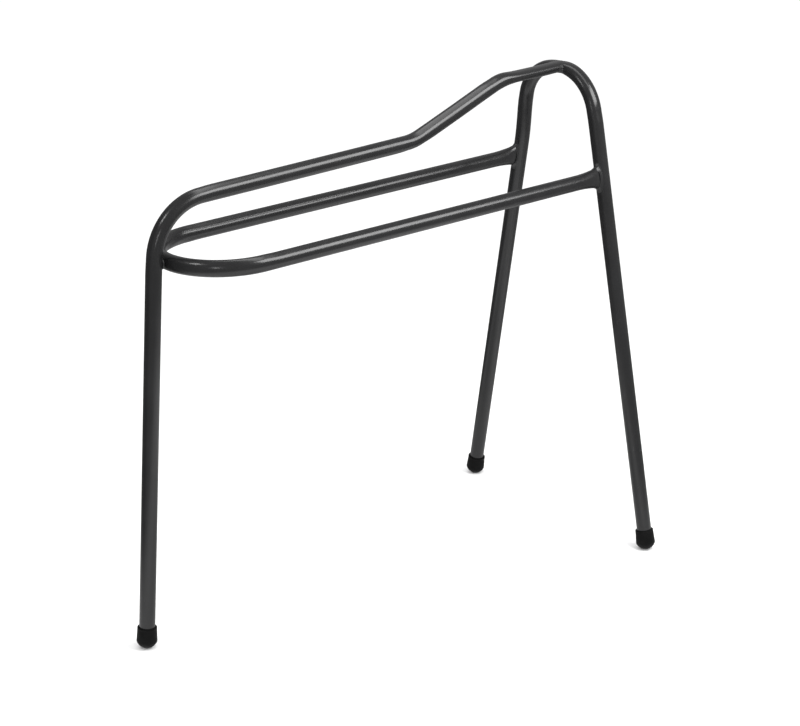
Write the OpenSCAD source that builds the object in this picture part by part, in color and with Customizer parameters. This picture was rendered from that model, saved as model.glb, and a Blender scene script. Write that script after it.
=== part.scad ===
// Free-standing rack for one saddle, bent and welded from round steel tube.
//
// An inverted U of tube, the A-frame, stands at the front under the pommel. One bent tube
// runs back from its crown as the spine, then turns down as the rear leg. A hairpin loop
// of two side rails joins the A-frame's legs to the rear leg. A rubber cap closes each foot.
//
// +X points to the A-frame, Y = 0 is the plane of symmetry, and Z = 0 is the floor.

/* [Tube] */
// Outside diameter of every tube
tube_od = 20; // [18:0.5:21]
// Wall thickness of every tube
tube_wall = 1.5; // [1.2:0.1:1.8]

/* [A-frame] */
// Distance between the two front feet on the floor
foot_spacing = 360; // [330:5:390]
// Length from the floor to the centre line of the crown, along the A-frame
crown_h = 641; // [625:0.5:655]
// Centre-line radius of the crown
crown_bend_r = 66.5; // [60:0.5:72]
// Angle by which the A-frame leans back towards the rear leg
frame_lean = 1; // [0:0.25:2]

/* [Spine and rear leg] */
// Distance from the rear foot to the line of the front feet on the floor
base_l = 690; // [680:1:700]
// Angle by which the rear leg leans forward
rear_lean = 3.9; // [3:0.1:5]
// Height at which the lines of the rear leg and the seat would meet
seat_rear_z = 557; // [550:1:564]
// Centre-line radius of the bend from the seat into the rear leg
rear_bend_r = 73; // [66:1:80]
// Length of the seat, between the points where its line meets its neighbours'
seat_l = 388; // [375:1:395]
// Rise of the seat towards the front, in degrees
seat_rise = 2.8; // [2:0.1:4]
// Length of the steep stretch in front of the seat
step_l = 157.5; // [150:0.5:165]
// Rise of the steep stretch, in degrees
step_rise = 22.6; // [20:0.1:24]
// Centre-line radius of the two bends of the steep stretch
step_bend_r = 72; // [60:1:80]
// Depth of the spine's front end below the centre line of the crown
spine_drop = 1.5; // [0:0.5:2]
// Width and thickness to which the spine's front end is pressed
spine_end = [23.2, 15.4];

/* [Side rails] */
// Height of the rails' centre line where it meets the A-frame
rail_z = 505; // [495:1:510]
// Distance between the rails' centre lines, and twice the radius of the bend that joins them
rail_spacing = 164; // [160:1:166]
// Rise of the rails towards the front, in degrees
rail_rise = 1.7; // [1:0.1:2.5]
// Length over which each rail's front end is pressed flat
rail_press_l = 42; // [30:1:50]
// Width and thickness to which the rail ends are pressed
rail_end = [28, 9];

/* [Foot caps] */
// Height of a cap along its leg
cap_h = 28; // [24:1:34]
// Diameter of a cap at its open rim
cap_rim_d = 24; // [23:0.2:25]
// Largest diameter of a cap, near the floor
cap_d = 26; // [25:0.2:27]
// Radius of the domed bottom
cap_dome_r = 13.8; // [13.6:0.2:14.4]
// Thickness of rubber under the tube
cap_floor = 6.5; // [6.5:0.5:10]
// Depth worn flat on the rounded bottom, where the cap stands on the floor
cap_flat = 0.6; // [0.3:0.1:0.8]

/* [Welds] */
// Width of the weld beads
bead_w = 4; // [3:0.25:5]
// Gap left between the loop and the rear leg, filled by their weld
root_gap = 0.5; // [0.3:0.1:1]
// Radius of the weld between the loop and the rear leg
loop_weld_r = 8.5; // [7:0.25:9]

/* [Hidden] */
$fn = 96;

paint = [0.20, 0.20, 0.21];
bead_paint = [0.27, 0.27, 0.28];
black_rubber = [0.04, 0.04, 0.04];

// A bend's wall is drawn this far inside the wall of the straights beside it, and the
// straights run this length into it, so that the two merge into one solid
bend_ease = 0.05;
bend_lap = 0.5;
// Facets of a hull's own sections, and the thickness of the slices that it spans
hull_fn = 32;
slice = 0.01;
// Keeps the faceted sections inside the wall of the round tube that they grow from
facet_ease = 0.1;
// Length for which a pressed end runs inside the round tube before it
press_overlap = 1;
// Length of round tube between the spine's last bend and its pressed end
round_stub = 2;
// Distance from a mating tube's centre line to where a bead around a pressed end begins
bead_reach = tube_od / 2 + bead_w;
// Width of that bead's thin edge, on both sides together
bead_toe = 1;
// Distance from the mating tube's centre line to the bead's widest section, inside that tube
bead_root = 0.3 * tube_od;

tube_r = tube_od / 2;

// Splay of each A-frame leg from the A-frame's centre line, from the crown's tangents
splay = acos(crown_bend_r / norm([foot_spacing / 2, crown_h - crown_bend_r]))
    - atan2(crown_h - crown_bend_r, foot_spacing / 2);
crown_turn = 180 - 2 * splay;
leg_run = foot_spacing / 2 / sin(splay) - trim(crown_bend_r, crown_turn);
crown = [base_l - crown_h * sin(frame_lean), crown_h * cos(frame_lean)];

// Corners of the spine and rear leg in the centre plane, as [x, z] from the rear foot
rear_corner = [seat_rear_z * tan(rear_lean), seat_rear_z];
low_corner = rear_corner + seat_l * [cos(seat_rise), sin(seat_rise)];
high_corner = low_corner + step_l * [cos(step_rise), sin(step_rise)];
spine_tip = crown - [0, spine_drop];
front_run = norm(spine_tip - high_corner);
front_rise = atan2(spine_tip.y - high_corner.y, spine_tip.x - high_corner.x);
rear_turn = 90 - rear_lean - seat_rise;
low_turn = step_rise - seat_rise;
high_turn = step_rise - front_rise;
// The spine is round to just past its last bend, and is pressed flatter from there to its tip
round_run = trim(step_bend_r, high_turn) + round_stub;
press_start = high_corner + round_run * [cos(front_rise), sin(front_rise)];
spine_press_l = front_run - round_run;

// Where the rails meet the A-frame, and where the loop meets the rear leg
rail_h = rail_z / cos(frame_lean);
rail_y = rail_spacing / 2;
rail_front_x = base_l - rail_h * sin(frame_lean);
contact_gap = tube_od + root_gap;
loop_x = (contact_gap + (rail_z - rail_front_x * tan(rail_rise)) * tan(rear_lean))
    / (1 - tan(rail_rise) * tan(rear_lean));
loop_z = rail_z - (rail_front_x - loop_x) * tan(rail_rise);
loop_l = (rail_front_x - loop_x) / cos(rail_rise);

// Distance up a leg's axis from the floor to the bottom of its cap's dome, which brings the
// dome's lowest point to cap_flat below the floor
function cap_shift(tilt) = (cap_dome_r * (1 - cos(tilt)) - cap_flat) / cos(tilt);
front_tilt = acos(cos(splay) * cos(frame_lean));
// Height on the cap at which its dome meets its side
cap_dome_h = cap_dome_r - sqrt(pow(cap_dome_r, 2) - pow(cap_d / 2, 2));
// Reach in X of a cap past its foot, away from the side to which the leg's axis leans by lean_x
function cap_reach(lean_x, tilt) =
    cap_d / 2 * sqrt(1 - pow(lean_x, 2)) - (cap_shift(tilt) + cap_dome_h) * lean_x;
// Middle of the rack's length, which becomes X = 0
mid_x = (base_l + cap_reach(sin(frame_lean) * cos(splay), front_tilt)
    - cap_reach(sin(rear_lean), rear_lean)) / 2;

// ---- Bent tube ----

// Length that a bend takes from the straight lines on each side of their corner
function trim(bend_r, angle) = bend_r * tan(angle / 2);

// Tube wall, or a full disc where a tube's whole volume cuts another piece to fit it
module tube_section(full, ease = 0) {
    difference() {
        circle(r = tube_r - ease);
        if (!full) circle(r = tube_r - tube_wall + ease);
    }
}

module straight(run, full) {
    rotate([0, 90, 0]) linear_extrude(run) tube_section(full);
}

module bend(bend_r, angle, full) {
    mirror([0, angle < 0 ? 1 : 0, 0]) translate([0, bend_r, 0]) rotate(-90)
        rotate_extrude(angle = abs(angle)) translate([bend_r, 0]) tube_section(full, bend_ease);
}

module past_bend(bend_r, angle) {
    side = sign(angle);
    translate([0, side * bend_r, 0]) rotate(angle) translate([0, -side * bend_r, 0]) children();
}

// A tube in the XY plane, starting along +X. Each stretch is [run, bend radius, turn], a
// straight and the bend after it, with a left turn positive; the last stretch is only a run.
module bent_tube(stretches, full = false, i = 0) {
    stretch = stretches[i];
    last = i == len(stretches) - 1;
    back_lap = i == 0 ? 0 : bend_lap;
    front_lap = last ? 0 : bend_lap;
    translate([-back_lap, 0, 0]) straight(stretch[0] + back_lap + front_lap, full);
    if (!last) translate([stretch[0], 0, 0]) {
        bend(stretch[1], stretch[2], full);
        past_bend(stretch[1], stretch[2]) bent_tube(stretches, full, i + 1);
    }
}

// ---- Pressed tube ends, drawn along +Z with their width along X ----

module flat_section(size) {
    square([size.x - size.y, size.y], center = true);
    for (side = [-1, 1]) translate([side * (size.x - size.y) / 2, 0]) circle(d = size.y);
}

module flat_slice(size, z) {
    translate([0, 0, z]) linear_extrude(slice) flat_section(size, $fn = hull_fn);
}

module pressed_volume(press_l, size) {
    hull() {
        translate([0, 0, -press_overlap]) linear_extrude(slice)
            circle(d = tube_od - facet_ease, $fn = hull_fn);
        flat_slice(size, press_l);
    }
}

module pressed_end(press_l, size) {
    inside_d = (tube_od - 2 * tube_wall + facet_ease) / cos(180 / hull_fn);
    difference() {
        pressed_volume(press_l, size);
        hull() {
            translate([0, 0, -press_overlap - slice]) linear_extrude(slice)
                circle(d = inside_d, $fn = hull_fn);
            flat_slice(size - 2 * tube_wall * [1, 1], press_l + slice);
        }
    }
}

// Bead around a pressed end, which thickens towards the mating tube's centre line at Z = 0
module bead_cone(size) {
    hull() {
        flat_slice(size + bead_toe * [1, 1], -bead_reach);
        flat_slice(size + 2 * bead_w * [1, 1], -bead_root);
    }
}

// ---- Places: each moves a shape from its own drawing to where it stands on the rack ----

module in_rack() {
    translate([-mid_x, 0, 0]) children();
}

// From the XY plane to the A-frame's plane: X goes across, Y goes up
module at_a_frame() {
    in_rack() translate([base_l, 0, 0]) rotate([0, -frame_lean, 0]) rotate([90, 0, 90]) children();
}

// From the XY plane to the centre plane: X goes forward, Y goes up
module at_spine() {
    in_rack() rotate([90, 0, 0]) children();
}

module at_loop() {
    in_rack() translate([loop_x, 0, loop_z]) rotate([0, -rail_rise, 0]) children();
}

// At a distance along the spine's last straight from press_start, with +Z forward and X across
module at_spine_end(along) {
    at_spine() translate(press_start) rotate(front_rise) translate([along, 0, 0])
        rotate([0, 90, 0]) children();
}

// At a distance along a rail, with +Z forward and X along the leg that it is welded to
module at_rail(side, along) {
    at_loop() translate([along, side * rail_y, 0]) rotate([side * splay, 0, 0])
        rotate([0, 90, 0]) children();
}

// ---- Tubes ----

module a_frame_tube(full = false) {
    at_a_frame() translate([-foot_spacing / 2, 0]) rotate(90 - splay)
        bent_tube([[leg_run, crown_bend_r, -crown_turn], [leg_run]], full);
}

module spine_tube(full = false) {
    rear_trim = trim(rear_bend_r, rear_turn);
    low_trim = trim(step_bend_r, low_turn);
    high_trim = trim(step_bend_r, high_turn);
    at_spine() rotate(90 - rear_lean) bent_tube([
        [norm(rear_corner) - rear_trim, rear_bend_r, -rear_turn],
        [seat_l - rear_trim - low_trim, step_bend_r, low_turn],
        [step_l - low_trim - high_trim, step_bend_r, -high_turn],
        [round_run - high_trim],
    ], full);
}

module loop_tube(full = false) {
    run = loop_l - rail_press_l - rail_y;
    at_loop() translate([rail_y + run, -rail_y]) rotate(180)
        bent_tube([[run, rail_y, -180], [run]], full);
}

module a_frame() {
    color(paint) difference() {
        a_frame_tube();
        for (side = [-1, 1]) at_front_leg(side) tube_foot();
    }
}

module spine_and_rear_leg() {
    color(paint) difference() {
        union() {
            spine_tube();
            at_spine_end(0) pressed_end(spine_press_l, spine_end);
        }
        a_frame_tube(full = true);
        at_rear_leg() tube_foot();
    }
}

module side_rail_loop() {
    color(paint) difference() {
        union() {
            loop_tube();
            for (side = [-1, 1])
                at_rail(side, loop_l - rail_press_l) pressed_end(rail_press_l, rail_end);
        }
        a_frame_tube(full = true);
    }
}

// ---- Foot caps, drawn along +Z from the point where the leg's axis meets the floor ----

module at_front_leg(side) {
    in_rack() translate([base_l, side * foot_spacing / 2, 0]) rotate([0, -frame_lean, 0])
        rotate([side * splay, 0, 0]) translate([0, 0, cap_shift(front_tilt)]) children();
}

module at_rear_leg() {
    in_rack() rotate([0, rear_lean, 0]) translate([0, 0, cap_shift(rear_lean)]) children();
}

// Cuts a leg square, just above the rubber that closes the cap
module tube_foot() {
    translate([0, 0, cap_floor - cap_h]) cylinder(d = cap_d, h = cap_h);
}

module cap_profile() {
    rim_edge = 1;
    side_r = cap_d / 2;
    rim_r = cap_rim_d / 2;
    difference() {
        intersection() {
            translate([0, cap_dome_r]) circle(r = cap_dome_r);
            square([side_r, cap_dome_h]);
        }
        translate([0, cap_floor]) square([tube_r, cap_h]);
    }
    polygon([
        [tube_r, cap_dome_h], [side_r, cap_dome_h], [rim_r, cap_h - rim_edge],
        [rim_r - rim_edge / 2, cap_h], [tube_r, cap_h],
    ]);
}

module foot_cap() {
    rotate_extrude() cap_profile();
}

module above_floor() {
    difference() {
        children();
        translate([0, 0, -cap_h]) linear_extrude(cap_h)
            square([2 * base_l, 2 * foot_spacing], center = true);
    }
}

module front_foot_cap(side) {
    color(black_rubber) above_floor() at_front_leg(side) foot_cap();
}

module rear_foot_cap() {
    color(black_rubber) above_floor() at_rear_leg() foot_cap();
}

// ---- Welds ----

module crown_weld() {
    color(bead_paint) difference() {
        at_spine_end(spine_press_l) bead_cone(spine_end);
        a_frame_tube(full = true);
        at_spine_end(0) pressed_volume(spine_press_l, spine_end);
    }
}

module rail_weld(side) {
    color(bead_paint) difference() {
        at_rail(side, loop_l) bead_cone(rail_end);
        a_frame_tube(full = true);
        at_rail(side, loop_l - rail_press_l) pressed_volume(rail_press_l, rail_end);
    }
}

// A disc that fills the narrow space between the rear leg and the loop's bend, drawn finely
// because both of its faces are the surfaces of curved tubes
module rear_loop_weld() {
    $fn = 240;
    color(bead_paint) difference() {
        at_loop() translate([-contact_gap, 0, 0]) rotate([0, 90, 0])
            cylinder(r = loop_weld_r, h = contact_gap);
        spine_tube(full = true);
        loop_tube(full = true);
    }
}

a_frame();
spine_and_rear_leg();
side_rail_loop();
crown_weld();
rail_weld(1);  // left_rail_weld
rail_weld(-1);  // right_rail_weld
rear_loop_weld();
front_foot_cap(1);  // left_foot_cap
front_foot_cap(-1);  // right_foot_cap
rear_foot_cap();
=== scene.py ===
"""Saddle rack: the detailed tubes, weld beads and foot caps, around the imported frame.

The frame's X runs forward to the A-frame, Y to the left and Z up, in metres. The sizes below
repeat the driving dimensions of the rack's CAD model.
"""

import copy
import math
import random

import bpy
from mathutils import Matrix, Vector


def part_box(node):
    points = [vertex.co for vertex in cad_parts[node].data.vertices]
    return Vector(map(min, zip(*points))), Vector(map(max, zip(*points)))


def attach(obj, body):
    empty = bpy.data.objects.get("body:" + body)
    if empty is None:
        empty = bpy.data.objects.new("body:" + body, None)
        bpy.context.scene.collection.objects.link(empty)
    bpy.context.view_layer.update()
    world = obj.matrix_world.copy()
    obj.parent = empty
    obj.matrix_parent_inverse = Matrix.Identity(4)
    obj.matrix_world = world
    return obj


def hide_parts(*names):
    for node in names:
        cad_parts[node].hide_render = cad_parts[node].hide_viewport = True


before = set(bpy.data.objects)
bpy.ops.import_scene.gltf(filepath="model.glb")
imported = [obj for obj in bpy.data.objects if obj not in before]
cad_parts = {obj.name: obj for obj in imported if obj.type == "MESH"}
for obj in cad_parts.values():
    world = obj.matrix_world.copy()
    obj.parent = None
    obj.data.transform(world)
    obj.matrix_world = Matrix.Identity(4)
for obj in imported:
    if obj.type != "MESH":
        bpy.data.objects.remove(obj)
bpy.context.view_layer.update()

MM = 0.001

# ---- Driving sizes, as in the CAD model ----

TUBE_R = 10 * MM
TUBE_WALL = 1.5 * MM

FOOT_SPACING = 360 * MM
CROWN_H = 641 * MM
CROWN_BEND_R = 66.5 * MM
FRAME_LEAN = math.radians(1)

BASE_L = 690 * MM
REAR_LEAN = math.radians(3.9)
SEAT_REAR_Z = 557 * MM
REAR_BEND_R = 73 * MM
SEAT_L = 388 * MM
SEAT_RISE = math.radians(2.8)
STEP_L = 157.5 * MM
STEP_RISE = math.radians(22.6)
STEP_BEND_R = 72 * MM
SPINE_DROP = 1.5 * MM

RAIL_Z = 505 * MM
RAIL_Y = 82 * MM
RAIL_RISE = math.radians(1.7)

CAP_H = 28 * MM
CAP_RIM_R = 12 * MM
CAP_R = 13 * MM
CAP_DOME_R = 13.8 * MM
CAP_FLOOR = 6.5 * MM
CAP_FLAT = 0.6 * MM
ROOT_GAP = 0.5 * MM

# ---- Looks of the bent and pressed tube ----

# How far each bend flattens the tube in its own plane, as a share of the radius
SHOULDER_FLATTEN = 0.07
REAR_FLATTEN = 0.035
STEP_FLATTEN = 0.05
LOOP_FLATTEN = 0.06
# How far a flattened tube spreads across its bend, as a share of the flattening
SPREAD = 0.6
# Length over which a bend's flattening fades into the straight beside it
FLATTEN_FADE = 14 * MM

# The A-frame's left shoulder is bent a little tighter than its right one
RIGHT_SHOULDER_R = 64 * MM
LEFT_SHOULDER_R = 55 * MM
# Where a bent tube is off its drawn centre line. Each shift is (place along the tube, reach to
# each side of it, shift along the bend plane's X, shift along its Y). The A-frame's places run
# from the crown's middle to the left: the crown sits low, and the left shoulder lower and out.
CROWN_SHIFTS = [
    (0 * MM, 190 * MM, 0 * MM, -0.9 * MM),
    (64 * MM, 95 * MM, 5.5 * MM, -4 * MM),
]
# The spine's places run back from its tip: the tip sits high, and the step and the seat sag
SPINE_SHIFTS = [
    (0 * MM, 45 * MM, 0 * MM, 0.9 * MM),
    (144 * MM, 130 * MM, 0 * MM, -0.8 * MM),
    (416 * MM, 330 * MM, 0 * MM, -0.5 * MM),
]
# Above 1, a shift holds its full size for a short way around its place
SHIFT_HOLD = 1.15

# How square a tube's section is: 2 is round, and a pressed tube has flatter sides
ROUND_POWER = 2
PRESSED_POWER = 2.5
# Half width across the bend and half thickness in its plane where the spine presses on the
# crown, the length that this reaches to each side, and how far up it pushes the crown
CROWN_PRESS = (11.2 * MM, 7.4 * MM)
CROWN_PRESS_REACH = 30 * MM
CROWN_PUSH = 0.4 * MM

# Half width and half thickness of the spine's pressed end, the length over which the pressing
# grows, and how far before the spine's front corner it starts
SPINE_END = (11.6 * MM, 6.8 * MM)
SPINE_PRESS_FADE = 34 * MM
SPINE_PRESS_LEAD = 6 * MM

# Half height and half thickness of the rails' pressed ends, the length that is pressed, and how
# much faster the pressing grows towards the end
RAIL_END = (15.6 * MM, 5.5 * MM)
RAIL_PRESS_L = 46 * MM
RAIL_PRESS_POWER = 1.8

# Length at a coped end that is left without rings, so that the edge doesn't cut across one
SPINE_COPE_L = 16 * MM
RAIL_COPE_L = 12 * MM
# How far before and beyond a tube's end its mating surface is looked for
COPE_BEFORE = 30 * MM
COPE_BEYOND = 6 * MM
COPE_HALVINGS = 30

# ---- Looks of the weld beads ----

# Reach of the beads over the parts that they join: the rails' at the sides and at the top and
# bottom, and the crown's, which thins by a share on top
BEAD_SIDE = 3.4 * MM
BEAD_TIP = 5.2 * MM
CROWN_BEAD = 4.2 * MM
CROWN_THINNING = 0.5
# How full the beads are: 0 is hollow and smooth, 1 is flat, and more stands proud
CROWN_BULGE = 1.2
RAIL_BULGE = 0.2
# How deep a bead's hidden corner and its two toes are sunk into the parts
ROOT_SINK = 0.9 * MM
TOE_SINK = 0.25 * MM
# Radius of the loop weld's ring, and of the bead that runs round it
LOOP_WELD_R = 4.8 * MM
LOOP_BEAD_R = 1.9 * MM
# A hand-laid bead is a row of puddles, each a little larger or smaller than the next
PUDDLE_L = 2.4 * MM
PUDDLE_SIZES = (0.9, 1.06)
# Size of a bead between its ripples, and how much a ripple adds
RIPPLE_LOW = 0.95
RIPPLE_HEIGHT = 0.07

# ---- Fineness of the meshes ----

SIDES = 64
BEND_STEP = math.radians(2)
STRAIGHT_STEP = 9 * MM
END_BEAD_COUNT = 240
END_BEAD_ACROSS = 8
LOOP_BEAD_COUNT = 180
LOOP_BEAD_AROUND = 14
CAP_SIDES = 72
DOME_STEPS = 26
POOL_SIDES = 64
# Faces that meet more steeply than this keep a crisp edge
SHARP_ANGLE = math.radians(48)


# ---- Centre lines ----


def trim(bend_r, angle):
    """Length that a bend takes from the straight lines on each side of their corner."""
    return bend_r * math.tan(abs(angle) / 2)


splay = math.acos(
    CROWN_BEND_R / math.hypot(FOOT_SPACING / 2, CROWN_H - CROWN_BEND_R)
) - math.atan2(CROWN_H - CROWN_BEND_R, FOOT_SPACING / 2)
crown_turn = math.pi - 2 * splay
crown_xz = Vector(
    (BASE_L - CROWN_H * math.sin(FRAME_LEAN), CROWN_H * math.cos(FRAME_LEAN))
)


def along(angle, length):
    """The step of this length in a plane, at an angle from its X."""
    return Vector((math.cos(angle), math.sin(angle))) * length


rear_corner = Vector((SEAT_REAR_Z * math.tan(REAR_LEAN), SEAT_REAR_Z))
low_corner = rear_corner + along(SEAT_RISE, SEAT_L)
high_corner = low_corner + along(STEP_RISE, STEP_L)
spine_tip = crown_xz - Vector((0, SPINE_DROP))
front_line = spine_tip - high_corner
front_rise = math.atan2(front_line.y, front_line.x)
rear_turn = math.pi / 2 - REAR_LEAN - SEAT_RISE
low_turn = STEP_RISE - SEAT_RISE
high_turn = STEP_RISE - front_rise

rail_h = RAIL_Z / math.cos(FRAME_LEAN)
rail_front_x = BASE_L - rail_h * math.sin(FRAME_LEAN)
contact_gap = 2 * TUBE_R + ROOT_GAP
loop_x = (
    contact_gap + (RAIL_Z - rail_front_x * math.tan(RAIL_RISE)) * math.tan(REAR_LEAN)
) / (1 - math.tan(RAIL_RISE) * math.tan(REAR_LEAN))
loop_z = RAIL_Z - (rail_front_x - loop_x) * math.tan(RAIL_RISE)
loop_l = (rail_front_x - loop_x) / math.cos(RAIL_RISE)

front_tilt = math.acos(math.cos(splay) * math.cos(FRAME_LEAN))
shoulder_turn = crown_turn / 2
corner_y = FOOT_SPACING / 2 - CROWN_H * math.tan(splay)
leg_l = CROWN_H / math.cos(splay)


def cap_shift(tilt):
    """Distance up a leg's axis from the floor to the bottom of its cap's dome."""
    return (CAP_DOME_R * (1 - math.cos(tilt)) - CAP_FLAT) / math.cos(tilt)


front_inset = cap_shift(front_tilt) + CAP_FLOOR
rear_inset = cap_shift(REAR_LEAN) + CAP_FLOOR
right_trim = trim(RIGHT_SHOULDER_R, shoulder_turn)
left_trim = trim(LEFT_SHOULDER_R, shoulder_turn)
right_leg_l = leg_l - front_inset - right_trim
left_leg_l = leg_l - front_inset - left_trim
crown_middle = right_leg_l + RIGHT_SHOULDER_R * shoulder_turn + (corner_y - right_trim)

# The CAD model's length is centred on X = 0, so the rear foot's place follows from its cap
rear_cap_low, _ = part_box("rear_foot_cap")
cap_dome_h = CAP_DOME_R - math.sqrt(CAP_DOME_R**2 - CAP_R**2)
rear_foot_x = (
    rear_cap_low[0]
    + CAP_R * math.cos(REAR_LEAN)
    - (cap_shift(REAR_LEAN) + cap_dome_h) * math.sin(REAR_LEAN)
)

to_rack = Matrix.Translation((rear_foot_x, 0, 0))
upright = Matrix.Rotation(math.pi / 2, 4, "X")
a_frame_plane = (
    to_rack
    @ Matrix.Translation((BASE_L, 0, 0))
    @ Matrix.Rotation(-FRAME_LEAN, 4, "Y")
    @ Matrix.Rotation(math.pi / 2, 4, "Z")
    @ upright
)
spine_plane = to_rack @ upright
loop_plane = (
    to_rack
    @ Matrix.Translation((loop_x, 0, loop_z))
    @ Matrix.Rotation(-RAIL_RISE, 4, "Y")
)


class Station:
    """One ring's place on a tube: its centre and axes, with its distance along the tube."""

    def __init__(self, s, flat, heading, plane, turn_side, flatten):
        turn = plane.to_3x3()
        self.s = s
        self.centre = plane @ Vector((flat.x, flat.y, 0))
        self.ahead = turn @ Vector((math.cos(heading), math.sin(heading), 0))
        self.left = turn @ Vector((-math.sin(heading), math.cos(heading), 0))
        self.up = turn @ Vector((0, 0, 1))
        self.turn_side = turn_side
        self.flatten = flatten


def centre_line(plane, start, heading, stretches):
    """Stations of a bent tube in its own plane.

    Each stretch is (run, bend radius, turn, flattening): a straight and the bend after it,
    with a left turn positive. The last stretch is only (run,).
    """
    stations = []
    bends = []
    at, s = Vector(start), 0.0
    for i, stretch in enumerate(stretches):
        run = stretch[0]
        steps = max(2, math.ceil(run / STRAIGHT_STEP))
        first = 0 if i == 0 else 1
        for k in range(first, steps + 1):
            part = run * k / steps
            stations.append([s + part, at + along(heading, part), heading])
        at, s = at + along(heading, run), s + run
        if len(stretch) == 1:
            break
        bend_r, turn, flatten = stretch[1:]
        side = math.copysign(1, turn)
        middle = at + along(heading + side * math.pi / 2, bend_r)
        bends.append((s, s + bend_r * abs(turn), side, flatten))
        steps = max(4, math.ceil(abs(turn) / BEND_STEP))
        for k in range(1, steps + 1):
            turned = turn * k / steps
            spot = middle + along(heading + turned - side * math.pi / 2, bend_r)
            stations.append([s + bend_r * abs(turned), spot, heading + turned])
        at, s, heading = stations[-1][1], s + bend_r * abs(turn), heading + turn
    return [Station(*row, plane, *bend_at(row[0], bends)) for row in stations]


def smooth(t):
    """Eases from 0 to 1 as t goes from 0 to 1."""
    t = min(max(t, 0.0), 1.0)
    return t * t * (3 - 2 * t)


def bend_at(s, bends):
    """Side to which the nearest bend turns, and how far it flattens the tube here."""
    best = (1.0, 0.0)
    for first, last, side, flatten in bends:
        outside = max(first - s, s - last, 0.0)
        share = flatten * smooth(1 - outside / FLATTEN_FADE)
        if share > best[1]:
            best = (side, share)
    return best


# ---- Cross-sections ----


def section(station, press=None):
    """Half width to the left, half width up, corner power and leftward shift of a ring.

    press(s) gives how far the tube is pressed there, from 0 to 1, the pressed half widths up and
    to the left, and how far the tube is pushed to the left.
    """
    f = station.flatten
    left, up = TUBE_R * (1 - f), TUBE_R * (1 + SPREAD * f)
    shift = station.turn_side * TUBE_R * f
    power = ROUND_POWER
    if press:
        amount, (pressed_up, pressed_left), push = press(station.s)
        left += (pressed_left - left) * amount
        up += (pressed_up - up) * amount
        shift = shift * (1 - amount) + push
        power += (PRESSED_POWER - ROUND_POWER) * amount
    return left, up, power, shift


def ring_point(station, angle, shape, inset=0.0, twist=0.0):
    """A point on a ring, with the ring drawn in by inset and turned by twist."""
    left, up, power, shift = shape
    c, s = math.cos(angle), math.sin(angle)
    x = (left - inset) * math.copysign(abs(c) ** (2 / power), c) + shift
    y = (up - inset) * math.copysign(abs(s) ** (2 / power), s)
    if twist:
        x, y = (
            x * math.cos(twist) - y * math.sin(twist),
            x * math.sin(twist) + y * math.cos(twist),
        )
    return station.centre + station.left * x + station.up * y


# ---- Meshes ----


def add_mesh(name, verts, faces, material):
    """A new object with smooth faces and crisp edges."""
    mesh = bpy.data.meshes.new(name)
    mesh.from_pydata([tuple(v) for v in verts], [], faces)
    mesh.validate()
    mesh.polygons.foreach_set("use_smooth", [True] * len(mesh.polygons))
    mesh.set_sharp_from_angle(angle=SHARP_ANGLE)
    mesh.materials.append(material)
    piece = bpy.data.objects.new(name, mesh)
    bpy.context.scene.collection.objects.link(piece)
    return piece


def bridge(rings, around, closed_along=False, flip=False):
    """Quads between neighbouring rings of vertex numbers."""
    faces = []
    count = len(rings)
    for i in range(count if closed_along else count - 1):
        a, b = rings[i], rings[(i + 1) % count]
        for j in range(around):
            k = (j + 1) % around
            quad = (a[j], a[k], b[k], b[j])
            faces.append(tuple(reversed(quad)) if flip else quad)
    return faces


def full_turn(count):
    """Angles that share a full turn evenly."""
    return [2 * math.pi * i / count for i in range(count)]


def tube_rings(stations, press, twist, inset):
    """The rings of points around a tube, one for each station."""
    rings = []
    for station in stations:
        shape = section(station, press)
        turned = twist(station.s) if twist else 0.0
        rings.append([ring_point(station, a, shape, inset, turned) for a in full_turn(SIDES)])
    return rings


def cope(rings, surface, ahead, at_end):
    """Slides the points of an end ring along the tube until they lie on the mating surface."""
    ring = rings[-1] if at_end else rings[0]
    for j, p in enumerate(ring):
        ring[j] = slide_to(p, ahead, surface)


def slide_to(point, direction, surface):
    """The place near the point, along direction, where it meets the surface."""
    near, far = -COPE_BEFORE, COPE_BEYOND
    for _ in range(COPE_HALVINGS):
        mid = (near + far) / 2
        if surface.gap(point + direction * mid) > 0:
            near = mid
        else:
            far = mid
    return point + direction * (near + far) / 2


def wall_mesh(name, outer, inner, material):
    """A closed hollow tube from its outer and inner rings."""
    verts = [p for ring in outer + inner for p in ring]
    count = len(outer)
    out = [list(range(i * SIDES, (i + 1) * SIDES)) for i in range(count)]
    ins = [list(range((count + i) * SIDES, (count + i + 1) * SIDES)) for i in range(count)]
    faces = bridge(out, SIDES) + bridge(ins, SIDES, flip=True)
    faces += bridge([ins[0], out[0]], SIDES)
    faces += bridge([out[-1], ins[-1]], SIDES)
    return add_mesh(name, verts, faces, material)


def wrap_up(piece, node):
    """Puts a finished piece in its CAD node's place."""
    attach(piece, "root")
    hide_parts(node)
    return piece


# ---- Materials ----


def new_material(name):
    material = bpy.data.materials.new(name)
    material.use_nodes = True
    return material, material.node_tree.nodes, material.node_tree.links


def map_range(nodes, links, value, source, target, interpolation="LINEAR"):
    """Adds a node that maps a value from one (low, high) range to another."""
    node = nodes.new("ShaderNodeMapRange")
    node.interpolation_type = interpolation
    limits = zip(("From Min", "From Max", "To Min", "To Max"), (*source, *target))
    for socket, limit in limits:
        node.inputs[socket].default_value = limit
    links.new(value, node.inputs["Value"])
    return node.outputs["Result"]


def mix_shaders(nodes, links, share, first, second):
    """Adds a node that goes from the first shader to the second as share goes from 0 to 1."""
    node = nodes.new("ShaderNodeMixShader")
    links.new(share, node.inputs["Fac"])
    links.new(first, node.inputs[1])
    links.new(second, node.inputs[2])
    return node.outputs["Shader"]


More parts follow.
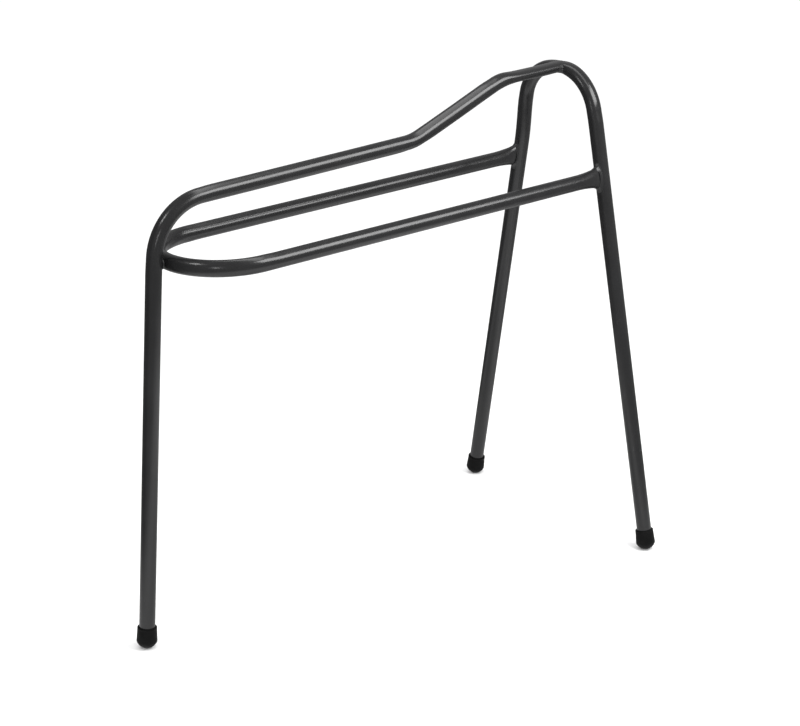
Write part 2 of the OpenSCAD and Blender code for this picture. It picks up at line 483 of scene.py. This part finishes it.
class Shading:
    """A new material, with short ways to add the nodes that its pattern is made from."""

    def __init__(self, name):
        self.material, self.nodes, self.links = new_material(name)
        self.shader = self.nodes["Principled BSDF"]
        self.place = self.nodes.new("ShaderNodeTexCoord").outputs["Object"]

    def noise(self, scale, detail, distortion=0.0):
        node = self.nodes.new("ShaderNodeTexNoise")
        node.inputs["Scale"].default_value = scale
        node.inputs["Detail"].default_value = detail
        node.inputs["Distortion"].default_value = distortion
        self.links.new(self.place, node.inputs["Vector"])
        return node.outputs["Fac"]

    def streaks(self, scales):
        """Noise drawn out into thin streaks along the axis with the smallest scale."""
        stretch = self.nodes.new("ShaderNodeMapping")
        stretch.inputs["Scale"].default_value = scales
        self.links.new(self.place, stretch.inputs["Vector"])
        node = self.nodes.new("ShaderNodeTexNoise")
        node.inputs["Scale"].default_value = 1
        node.inputs["Detail"].default_value = 1
        self.links.new(stretch.outputs["Vector"], node.inputs["Vector"])
        return node.outputs["Fac"]

    def facing_up(self):
        """1 where the surface faces up, 0 where it is upright and -1 where it faces down."""
        node = self.nodes.new("ShaderNodeSeparateXYZ")
        geometry = self.nodes.new("ShaderNodeNewGeometry")
        self.links.new(geometry.outputs["Normal"], node.inputs["Vector"])
        return node.outputs["Z"]

    def height(self):
        """Height above the floor."""
        node = self.nodes.new("ShaderNodeSeparateXYZ")
        self.links.new(self.place, node.inputs["Vector"])
        return node.outputs["Z"]

    def remap(self, value, source, target=(0, 1)):
        return map_range(self.nodes, self.links, value, source, target)

    def times(self, a, b):
        node = self.nodes.new("ShaderNodeMath")
        node.operation = "MULTIPLY"
        self.links.new(a, node.inputs[0])
        self.links.new(b, node.inputs[1])
        return node.outputs["Value"]

    def blend(self, share, first, second):
        """Mixes two colours, each a tuple or a socket."""
        node = self.nodes.new("ShaderNodeMix")
        node.data_type = "RGBA"
        self.links.new(share, node.inputs[0])
        for socket, colour in ((node.inputs[6], first), (node.inputs[7], second)):
            if isinstance(colour, tuple):
                socket.default_value = (*colour, 1)
            else:
                self.links.new(colour, socket)
        return node.outputs[2]

    def bump(self, height, depth, strength, under=None):
        """Small relief, laid over the relief under it."""
        node = self.nodes.new("ShaderNodeBump")
        node.inputs["Strength"].default_value = strength
        node.inputs["Distance"].default_value = depth
        self.links.new(height, node.inputs["Height"])
        if under:
            self.links.new(under, node.inputs["Normal"])
        return node.outputs["Normal"]

    def finish(self, colour, roughness, normal):
        self.links.new(colour, self.shader.inputs["Base Color"])
        self.links.new(roughness, self.shader.inputs["Roughness"])
        self.links.new(normal, self.shader.inputs["Normal"])
        return self.material


TUBE_ENAMEL = (0.011, 0.011, 0.0115)
BEAD_ENAMEL = (0.012, 0.012, 0.0125)
SCRATCH = (0.045, 0.045, 0.047)
DUST = (0.09, 0.087, 0.08)
RUBBER = (0.0022, 0.0022, 0.0022)
WORN_RUBBER = (0.004, 0.004, 0.004)
SCUFF = (0.03, 0.028, 0.026)
SCUFF_H = 7 * MM
# Noise scales along X, Y and Z, for scratches that run along the rails and up the legs
SCRATCH_SCALES = ((30, 1400, 1100), (1300, 1200, 26))


def enamel(name, body, peel_depth, roughness):
    """Dark gloss enamel over steel.

    It has orange peel, cloudy tone, hairline scratches where the enamel is rubbed, and a
    little dust on its upper side.
    """
    paint = Shading(name)
    dark = tuple(c * 0.82 for c in body)
    light = tuple(c * 1.2 for c in body)
    clouds = paint.remap(paint.noise(scale=14, detail=5, distortion=0.4), (0.3, 0.75))
    colour = paint.blend(clouds, dark, light)

    rubbed = paint.remap(paint.noise(scale=24, detail=3), (0.5, 0.65), (0, 0.55))
    for scales in SCRATCH_SCALES:
        hairline = paint.remap(paint.streaks(scales), (0.7, 0.76))
        colour = paint.blend(paint.times(hairline, rubbed), colour, SCRATCH)

    specks = paint.remap(paint.noise(scale=900, detail=2), (0.64, 0.72))
    upper = paint.remap(paint.facing_up(), (0.1, 1.0), (0, 0.28))
    colour = paint.blend(paint.times(specks, upper), colour, DUST)

    hazy = (roughness * 0.85, roughness * 1.3)
    haze = paint.remap(paint.noise(scale=60, detail=6), (0.3, 0.8), hazy)
    waves = paint.bump(paint.noise(scale=45, detail=2), depth=0.12 * MM, strength=0.25)
    grain = paint.noise(scale=420, detail=2)
    peel = paint.bump(grain, depth=peel_depth, strength=0.35, under=waves)
    return paint.finish(colour, haze, peel)


def rubber(name):
    """Black moulded rubber, with a fine grain and pale scuffs near the floor."""
    cap = Shading(name)
    worn = cap.remap(cap.noise(scale=90, detail=5), (0.35, 0.7))
    colour = cap.blend(worn, RUBBER, WORN_RUBBER)
    low = cap.remap(cap.height(), (0, SCUFF_H), (0.5, 0))
    marks = cap.remap(cap.noise(scale=260, detail=4, distortion=1.5), (0.52, 0.66))
    colour = cap.blend(cap.times(low, marks), colour, SCUFF)
    rough = cap.remap(cap.noise(scale=150, detail=4), (0.3, 0.7), (0.52, 0.68))
    grain = cap.bump(cap.noise(scale=900, detail=3), depth=0.08 * MM, strength=0.4)
    cap.shader.inputs["Specular IOR Level"].default_value = 0.12
    return cap.finish(colour, rough, grain)


tube_paint = enamel("charcoal_enamel", TUBE_ENAMEL, peel_depth=0.05 * MM, roughness=0.22)
bead_paint = enamel("charcoal_enamel_bead", BEAD_ENAMEL, peel_depth=0.08 * MM, roughness=0.32)
cap_rubber = rubber("black_rubber")


# ---- Tubes ----


class RoundSurface:
    """The skin of a straight round tube, onto which another tube is welded."""

    def __init__(self, origin, direction):
        self.origin = origin
        self.direction = direction

    def gap(self, p):
        """Above zero outside the skin, and below zero inside it."""
        return (p - self.origin).cross(self.direction).length - TUBE_R

    def settle(self, p):
        """The nearest place on the skin."""
        centre = self.origin + self.direction * (p - self.origin).dot(self.direction)
        return centre + (p - centre).normalized() * TUBE_R


def leg_axis(side):
    """Foot and upward direction of a front leg; side is 1 for the left leg and -1 for the right."""
    foot = a_frame_plane @ Vector((side * FOOT_SPACING / 2, 0, 0))
    up = a_frame_plane.to_3x3() @ Vector((-side * math.sin(splay), math.cos(splay), 0))
    return foot, up


def off_line(s, shifts, plane):
    """How far a bent tube is off its drawn centre line, at a distance along it."""
    total = Vector((0, 0, 0))
    for place, reach, x, y in shifts:
        share = smooth(SHIFT_HOLD * (1 - abs(s - place) / reach))
        total += plane.to_3x3() @ Vector((x, y, 0)) * share
    return total


class CrownSurface:
    """The pressed skin of the crown's middle."""

    def __init__(self):
        low = a_frame_plane.to_3x3() @ Vector((0, CROWN_H + CROWN_PUSH, 0))
        middle = Matrix.Translation(off_line(0, CROWN_SHIFTS, a_frame_plane) + low)
        self.place = middle @ a_frame_plane
        self.to_local = self.place.inverted()

    def reach(self, q):
        """A local point's distance from the middle, as a share of the skin's distance."""
        wide, thin = CROWN_PRESS
        total = abs(q.z / wide) ** PRESSED_POWER + abs(q.y / thin) ** PRESSED_POWER
        return total ** (1 / PRESSED_POWER)

    def gap(self, p):
        """Above zero outside the skin, and below zero inside it or past the crown's middle."""
        q = self.to_local @ p
        return -1 if q.z > 0 else self.reach(q) - 1

    def settle(self, p):
        """A place on the skin near the point."""
        q = self.to_local @ p
        share = self.reach(q)
        return self.place @ Vector((q.x, q.y / share, q.z / share))


def crown_press(s):
    """The crown is pressed flat in its middle, where the spine meets it."""
    amount = smooth(1 - abs(s - crown_middle) / CROWN_PRESS_REACH)
    return amount, CROWN_PRESS, CROWN_PUSH * amount


def build_a_frame():
    heading = math.pi / 2 - splay
    start = Vector((-FOOT_SPACING / 2, 0)) + along(heading, front_inset)
    crown_l = 2 * corner_y - right_trim - left_trim
    stretches = [
        (right_leg_l, RIGHT_SHOULDER_R, -shoulder_turn, SHOULDER_FLATTEN),
        (crown_l, LEFT_SHOULDER_R, -shoulder_turn, SHOULDER_FLATTEN),
        (left_leg_l,),
    ]
    stations = centre_line(a_frame_plane, start, heading, stretches)
    for station in stations:
        station.centre += off_line(station.s - crown_middle, CROWN_SHIFTS, a_frame_plane)
    outer = tube_rings(stations, crown_press, None, 0)
    inner = tube_rings(stations, crown_press, None, TUBE_WALL)
    return wrap_up(wall_mesh("a_frame_tube", outer, inner, tube_paint), "a_frame")


def spine_stations():
    rear_trim = trim(REAR_BEND_R, rear_turn)
    low_trim = trim(STEP_BEND_R, low_turn)
    high_trim = trim(STEP_BEND_R, high_turn)
    heading = math.pi / 2 - REAR_LEAN
    stretches = [
        (rear_corner.length - rear_trim - rear_inset, REAR_BEND_R, -rear_turn, REAR_FLATTEN),
        (SEAT_L - rear_trim - low_trim, STEP_BEND_R, low_turn, STEP_FLATTEN),
        (STEP_L - low_trim - high_trim, STEP_BEND_R, -high_turn, STEP_FLATTEN),
        (front_line.length - high_trim,),
    ]
    return centre_line(spine_plane, along(heading, rear_inset), heading, stretches)


def spine_press(length):
    """The spine is pressed thin and wide from its last bend to its tip."""
    first = length - front_line.length - SPINE_PRESS_LEAD

    def press(s):
        return smooth((s - first) / SPINE_PRESS_FADE), SPINE_END, 0.0

    return press


def build_spine():
    stations = spine_stations()
    length = stations[-1].s
    for station in stations:
        station.centre += off_line(length - station.s, SPINE_SHIFTS, spine_plane)
    press = spine_press(length)
    outer = tube_rings(stations, press, None, 0)
    inner = tube_rings(stations, press, None, TUBE_WALL)
    keep = [i for i, station in enumerate(stations) if station.s < length - SPINE_COPE_L]
    outer = [outer[i] for i in keep] + [outer[-1]]
    inner = [inner[i] for i in keep] + [inner[-1]]
    ahead = stations[-1].ahead
    crown = CrownSurface()
    cope(outer, crown, ahead, True)
    cope(inner, crown, ahead, True)
    spine = wall_mesh("spine_tube", outer, inner, tube_paint)
    wrap_up(spine, "spine_and_rear_leg")
    return TubeEnd(stations[-1], ahead, press, None, crown)


def rail_press(length):
    """Each rail is pressed tall and thin over its last stretch, faster towards its end."""

    def press(s):
        from_end = min(s, length - s)
        amount = max(0.0, 1 - from_end / RAIL_PRESS_L) ** RAIL_PRESS_POWER
        return amount, RAIL_END, 0.0

    return press


def build_loop():
    run = loop_l - RAIL_Y
    stations = centre_line(
        loop_plane,
        (RAIL_Y + run, -RAIL_Y),
        math.pi,
        [(run, RAIL_Y, -math.pi, LOOP_FLATTEN), (run,)],
    )
    length = stations[-1].s
    press = rail_press(length)

    def twist(s):
        # The pressed ends lie along the splayed legs
        return splay * press(s)[0]

    outer = tube_rings(stations, press, twist, 0)
    inner = tube_rings(stations, press, twist, TUBE_WALL)
    first, last = RAIL_COPE_L, length - RAIL_COPE_L
    keep = [i for i, station in enumerate(stations) if first < station.s < last]
    outer = [outer[0]] + [outer[i] for i in keep] + [outer[-1]]
    inner = [inner[0]] + [inner[i] for i in keep] + [inner[-1]]
    ends = {}
    for side, index in ((-1, 0), (1, -1)):
        leg = RoundSurface(*leg_axis(side))
        ahead = stations[index].ahead * side
        cope(outer, leg, ahead, index == -1)
        cope(inner, leg, ahead, index == -1)
        ends[side] = TubeEnd(stations[index], ahead, press, twist, leg)
    loop = wall_mesh("side_rail_tube", outer, inner, tube_paint)
    wrap_up(loop, "side_rail_loop")
    return ends


class TubeEnd:
    """A coped end of a tube, with the surface that it meets."""

    def __init__(self, station, ahead, press, twist, surface):
        self.station = station
        self.ahead = ahead
        self.press = press
        self.twist = twist
        self.surface = surface

    def point(self, angle, back):
        """A point on the tube's skin, the given distance back from the end station."""
        side = 1 if self.station.ahead.dot(self.ahead) > 0 else -1
        place = copy.copy(self.station)
        place.s = self.station.s - side * back
        place.centre = self.station.centre - self.ahead * back
        twist = self.twist(place.s) if self.twist else 0.0
        return ring_point(place, angle, section(place, self.press), 0, twist)

    def corner(self, angle):
        """Where the tube's skin meets the other surface."""
        return slide_to(self.point(angle, 0), self.ahead, self.surface)

    def away(self, corner, tangent, out):
        """Direction on the other skin, square to the joint and away from the tube's own skin."""
        step = 0.05 * MM
        settle = self.surface.settle
        forward = settle(corner + self.ahead * step) - settle(corner - self.ahead * step)
        outward_step = settle(corner + out * step) - settle(corner - out * step)
        total = forward + outward_step
        return (total - tangent * total.dot(tangent)).normalized()


# ---- Weld beads ----


def ripple(s, pitch):
    """The scalloped height of a weld bead along its length, from 0 to 1."""
    return 1 - abs(2 * ((s / pitch) % 1.0) - 1) ** 1.5


def puddle_swell(lengths, total, seed):
    """The relative size of a closed bead of this total length, at each distance along it."""
    rng = random.Random(seed)
    count = max(3, round(total / PUDDLE_L))
    pitch = total / count
    sizes = [rng.uniform(*PUDDLE_SIZES) for _ in range(count)]
    swells = []
    for s in lengths:
        k = int(s / pitch)
        mixed = sizes[k % count]
        mixed += (sizes[(k + 1) % count] - mixed) * smooth(s / pitch - k)
        swells.append(mixed * (RIPPLE_LOW + RIPPLE_HEIGHT * ripple(s, pitch)))
    return swells


def closed_lengths(curve):
    """Distance along a closed curve to each of its points, and its whole length."""
    lengths = [0.0]
    for i, p in enumerate(curve):
        lengths.append(lengths[-1] + (curve[(i + 1) % len(curve)] - p).length)
    return lengths[:-1], lengths[-1]


def end_bead(name, end, toe, bulge, seed, node):
    """A fillet of weld around a coped end, reaching toe(angle) over both of the joined skins.

    It is hollow and smooth where bulge is 0, flat where it is 1 and full above that.
    """
    angles = full_turn(END_BEAD_COUNT)
    corners = [end.corner(a) for a in angles]
    lengths, total = closed_lengths(corners)
    swells = puddle_swell(lengths, total, seed)
    verts, rings = [], []
    for i, a in enumerate(angles):
        corner, reach = corners[i], toe(a) * swells[i]
        slid = (corner - end.point(a, 0)).dot(end.ahead)
        on_tube = end.point(a, reach - slid)
        tangent = (corners[(i + 1) % END_BEAD_COUNT] - corners[i - 1]).normalized()
        out = end.ahead.cross(tangent).normalized()
        if out.dot(corner - end.station.centre) < 0:
            out = -out
        on_other = end.surface.settle(corner + end.away(corner, tangent, out) * reach)
        sunk = (end.ahead - out).normalized()
        full = bulge + (swells[i] - 1) / 2
        bend = corner + ((on_tube + on_other) / 2 - corner) * full
        profile = [corner + sunk * ROOT_SINK, on_tube + sunk * TOE_SINK]
        for k in range(1, END_BEAD_ACROSS):
            t = k / END_BEAD_ACROSS
            profile.append(on_tube * (1 - t) ** 2 + bend * 2 * t * (1 - t) + on_other * t * t)
        profile.append(on_other + sunk * TOE_SINK)
        rings.append(list(range(len(verts), len(verts) + len(profile))))
        verts += profile
    faces = bridge(rings, END_BEAD_ACROSS + 2, closed_along=True)
    bead = add_mesh(name, verts, outward(verts, faces), bead_paint)
    return wrap_up(bead, node)


def outward(verts, faces):
    """The faces of a closed mesh, turned over if they face inwards."""
    volume = 0.0
    for f in faces:
        for k in range(1, len(f) - 1):
            volume += verts[f[0]].dot(verts[f[k]].cross(verts[f[k + 1]]))
    return faces if volume > 0 else [tuple(reversed(f)) for f in faces]


def build_loop_weld(seed):
    """The bead in the narrow groove around the spot where the loop touches the rear leg."""
    contact = loop_plane @ Vector((-contact_gap / 2, 0, 0))
    forward = Vector((1, 0, 0))
    angles = full_turn(LOOP_BEAD_COUNT)
    lengths = [a * LOOP_WELD_R for a in angles]
    swells = puddle_swell(lengths, 2 * math.pi * LOOP_WELD_R, seed)
    verts, rings = [], []
    for a, swell in zip(angles, swells):
        out = Vector((0, math.cos(a), math.sin(a)))
        rings.append(list(range(len(verts), len(verts) + LOOP_BEAD_AROUND)))
        for b in full_turn(LOOP_BEAD_AROUND):
            spoke = out * math.cos(b) + forward * math.sin(b)
            verts.append(contact + out * LOOP_WELD_R + spoke * LOOP_BEAD_R * swell)
    faces = outward(verts, bridge(rings, LOOP_BEAD_AROUND, closed_along=True))
    bead = add_mesh("rear_loop_bead", verts, faces, bead_paint)
    return wrap_up(bead, "rear_loop_weld")


def rail_toe(angle):
    """The rails' beads run out further along the legs at the top and bottom."""
    return BEAD_SIDE + (BEAD_TIP - BEAD_SIDE) * math.sin(angle) ** 4


def crown_toe(angle):
    """The crown's bead thins out on top, where the spine runs over into the crown."""
    return CROWN_BEAD * (1 - CROWN_THINNING * smooth(1.5 * math.cos(angle)))


# ---- Foot caps ----

# Share of the dome's angle after which its edge is rounded over into the wall
DOME_SHARE = 0.93
# Height of the rolled lip at a cap's mouth, and the clearance of its bore around the tube
LIP_H = 2.2 * MM
BORE_GAP = 0.02 * MM


def cap_profile():
    """Radius and height of a cap's skin, from the dome's middle over the rim into the bore."""
    dome_edge = math.asin(CAP_R / CAP_DOME_R)
    dome = []
    for i in range(DOME_STEPS + 1):
        a = dome_edge * DOME_SHARE * i / DOME_STEPS
        dome.append((CAP_DOME_R * math.sin(a), CAP_DOME_R * (1 - math.cos(a))))
    lip_z = CAP_H - LIP_H
    wall = [
        (CAP_R - 0.12 * MM, cap_dome_h - 0.4 * MM),
        (CAP_R, cap_dome_h + 0.8 * MM),
        (CAP_R - 0.1 * MM, cap_dome_h + 2.5 * MM),
        (CAP_RIM_R + 0.25 * MM, lip_z - 0.9 * MM),
    ]
    lip = [
        (CAP_RIM_R + 0.12 * MM, lip_z - 0.3 * MM),
        (CAP_RIM_R + 0.32 * MM, lip_z + 0.2 * MM),
        (CAP_RIM_R + 0.3 * MM, CAP_H - 0.8 * MM),
        (CAP_RIM_R, CAP_H - 0.15 * MM),
        (CAP_RIM_R - 0.5 * MM, CAP_H),
        (TUBE_R + 0.5 * MM, CAP_H - 0.1 * MM),
        (TUBE_R + 0.05 * MM, CAP_H - 0.6 * MM),
    ]
    bore = [
        (TUBE_R + BORE_GAP, CAP_H - 2 * MM),
        (TUBE_R + BORE_GAP, CAP_FLOOR),
        (TUBE_R / 2, CAP_FLOOR),
    ]
    return dome + wall + lip + bore


def build_cap(name, node, foot, up, tilt):
    """A cap around the lower end of a leg, with its dome flattened onto the floor."""
    across = up.cross(Vector((1, 0, 0))).normalized()
    other = up.cross(across)
    base = foot + up * cap_shift(tilt)
    verts = [base]
    rings = []
    for r, h in cap_profile()[1:]:
        rings.append(list(range(len(verts), len(verts) + CAP_SIDES)))
        for a in full_turn(CAP_SIDES):
            verts.append(base + up * h + (across * math.cos(a) + other * math.sin(a)) * r)
    verts.append(base + up * CAP_FLOOR)
    centre = len(verts) - 1
    faces = bridge(rings, CAP_SIDES)
    for j in range(CAP_SIDES):
        k = (j + 1) % CAP_SIDES
        faces.append((0, rings[0][k], rings[0][j]))
        faces.append((centre, rings[-1][j], rings[-1][k]))
    for v in verts:
        v.z = max(v.z, 0.0)
    return wrap_up(add_mesh(name, verts, faces, cap_rubber), node)


def build_caps():
    for side, word in ((1, "left"), (-1, "right")):
        foot, up = leg_axis(side)
        build_cap(f"{word}_cap", f"{word}_foot_cap", foot, up, front_tilt)
    rear_up = Vector((math.sin(REAR_LEAN), 0, math.cos(REAR_LEAN)))
    build_cap("rear_cap", "rear_foot_cap", Vector((rear_foot_x, 0, 0)), rear_up, REAR_LEAN)


# ---- Camera, lights and floor ----

CAMERA_PLACE = (-1.5880, -2.0480, 1.2036)
CAMERA_YAW = math.radians(38.787)
CAMERA_PITCH = math.radians(-19.306)
CAMERA_ROLL = math.radians(-0.117)
# In millimetres, on a 36 mm wide sensor
LENS = 95.9
SENSOR_W = 36

# Height of the point that the lights are aimed at
AIM_H = 0.45

FLOOR_HALF = 20
FLOOR_TONE = (0.86, 0.86, 0.86, 1)

# The light pool's middle, and the radii between which it fades out
POOL_PLACE = (-0.05, -0.3, 0)
POOL_R = 0.95
POOL_FULL_R = 0.45
# The rack's own shade dims the pool around this place, measured from the pool's middle: the
# distances between which the shade fades out, and the pool's strength at each of them
SHADE_PLACE = (0.05, 0.3, 0)
SHADE_REACH = (0.12, 0.45)
POOL_STRENGTH = (0.55, 1.15)

WALL_STRENGTH = 1.2
# Direction in which the mirrored room is darkest. The room's strength goes from the first to the
# second value as a direction comes nearer to it, between the two cosines.
DARK_SIDE = (-0.64, 0.77, 0)
DARK_COSINES = (0.3, 0.9)
ROOM_STRENGTH = (0.45, 0.15)


def build_camera():
    data = bpy.data.cameras.new("camera")
    data.sensor_width = SENSOR_W
    data.lens = LENS
    camera = bpy.data.objects.new("camera", data)
    bpy.context.scene.collection.objects.link(camera)
    camera.location = CAMERA_PLACE
    turn = (
        Matrix.Rotation(-CAMERA_YAW, 3, "Z")
        @ Matrix.Rotation(math.pi / 2 + CAMERA_PITCH, 3, "X")
        @ Matrix.Rotation(CAMERA_ROLL, 3, "Z")
    )
    camera.rotation_euler = turn.to_euler()
    bpy.context.scene.camera = camera


def area_light(name, azimuth, elevation, distance, size, radiance):
    """A soft rectangular light aimed at the rack, placed by direction and distance from it.

    The angles are in degrees, and azimuth runs from +Y towards +X. The camera doesn't see the
    light itself.
    """
    aim = Vector((0, 0, AIM_H))
    az, el = math.radians(azimuth), math.radians(elevation)
    away = Vector((math.sin(az) * math.cos(el), math.cos(az) * math.cos(el), math.sin(el)))
    data = bpy.data.lights.new(name, "AREA")
    data.shape = "RECTANGLE"
    data.size, data.size_y = size
    data.energy = radiance * math.pi * size[0] * size[1]
    light = bpy.data.objects.new(name, data)
    light.location = aim + away * distance
    light.rotation_euler = (-away).to_track_quat("-Z", "Y").to_euler()
    light.visible_camera = False
    bpy.context.scene.collection.objects.link(light)


def build_lights():
    """A large key light, a strip overhead and two small lights for the tubes' crisp streaks."""
    area_light(
        "key_softbox", azimuth=149, elevation=38, distance=1.3, size=(0.84, 0.64), radiance=8.5
    )
    area_light(
        "overhead_strip", azimuth=90, elevation=78, distance=1.38, size=(1.6, 0.35), radiance=3.0
    )
    area_light(
        "left_softbox",
        azimuth=-84.7,
        elevation=44.3,
        distance=1.416,
        size=(0.24, 0.24),
        radiance=12,
    )
    area_light(
        "camera_side_softbox",
        azimuth=-125,
        elevation=17.7,
        distance=1.756,
        size=(0.14, 0.36),
        radiance=9,
    )


def build_floor():
    material, nodes, _ = new_material("pale_floor")
    shader = nodes["Principled BSDF"]
    shader.inputs["Base Color"].default_value = FLOOR_TONE
    shader.inputs["Roughness"].default_value = 0.9
    shader.inputs["Specular IOR Level"].default_value = 0.0
    signs = ((-1, -1), (1, -1), (1, 1), (-1, 1))
    corners = [Vector((x * FLOOR_HALF, y * FLOOR_HALF, 0)) for x, y in signs]
    floor = add_mesh("floor", corners, [(0, 1, 2, 3)], material)
    floor.visible_glossy = False


def build_light_pool():
    """The brightly lit part of the floor, as the rack's gloss mirrors it.

    The floor itself is left out of the reflections, so that only this soft-edged disc shows.
    """
    material, nodes, links = new_material("light_pool")
    nodes.remove(nodes["Principled BSDF"])
    place = nodes.new("ShaderNodeTexCoord")
    reach = nodes.new("ShaderNodeVectorMath")
    reach.operation = "LENGTH"
    links.new(place.outputs["Object"], reach.inputs[0])
    from_shade = nodes.new("ShaderNodeVectorMath")
    from_shade.operation = "DISTANCE"
    from_shade.inputs[1].default_value = SHADE_PLACE
    links.new(place.outputs["Object"], from_shade.inputs[0])
    fade_reach = (POOL_FULL_R, POOL_R)
    fade = map_range(nodes, links, reach.outputs["Value"], fade_reach, (1, 0), "SMOOTHSTEP")
    strength = map_range(nodes, links, from_shade.outputs["Value"], SHADE_REACH, POOL_STRENGTH)
    glow = nodes.new("ShaderNodeEmission")
    links.new(strength, glow.inputs["Strength"])
    clear = nodes.new("ShaderNodeBsdfTransparent")
    pool_shader = mix_shaders(nodes, links, fade, clear.outputs["BSDF"], glow.outputs["Emission"])
    links.new(pool_shader, nodes["Material Output"].inputs["Surface"])
    verts = [Vector((*along(a, POOL_R), 0)) for a in full_turn(POOL_SIDES)]
    pool = add_mesh("light_pool", verts, [tuple(range(POOL_SIDES))], material)
    pool.location = POOL_PLACE
    pool.visible_camera = False
    pool.visible_diffuse = False
    pool.visible_shadow = False


def build_world():
    """White studio walls for the camera and floor, and a dim room in the rack's reflections."""
    world = bpy.data.worlds.new("studio")
    bpy.context.scene.world = world
    world.use_nodes = True
    nodes, links = world.node_tree.nodes, world.node_tree.links
    white = nodes["Background"]
    white.inputs["Color"].default_value = (1, 1, 1, 1)
    white.inputs["Strength"].default_value = WALL_STRENGTH
    room = nodes.new("ShaderNodeBackground")
    place = nodes.new("ShaderNodeTexCoord")
    facing = nodes.new("ShaderNodeVectorMath")
    facing.operation = "DOT_PRODUCT"
    facing.inputs[1].default_value = DARK_SIDE
    links.new(place.outputs["Generated"], facing.inputs[0])
    cosine = facing.outputs["Value"]
    tone = map_range(nodes, links, cosine, DARK_COSINES, ROOM_STRENGTH, "SMOOTHSTEP")
    links.new(tone, room.inputs["Strength"])
    mirrored = nodes.new("ShaderNodeLightPath").outputs["Is Glossy Ray"]
    backgrounds = (white.outputs["Background"], room.outputs["Background"])
    surroundings = mix_shaders(nodes, links, mirrored, *backgrounds)
    links.new(surroundings, nodes["World Output"].inputs["Surface"])


build_camera()
build_world()
build_floor()
build_light_pool()
build_lights()

build_a_frame()
end_bead("crown_bead", build_spine(), crown_toe, CROWN_BULGE, seed=3, node="crown_weld")
rail_ends = build_loop()
for word, side, seed in (("left", 1, 6), ("right", -1, 4)):
    bead, node = f"{word}_rail_bead", f"{word}_rail_weld"
    end_bead(bead, rail_ends[side], rail_toe, RAIL_BULGE, seed, node)
build_loop_weld(seed=11)
build_caps()

bpy.context.scene.view_settings.view_transform = "Standard"
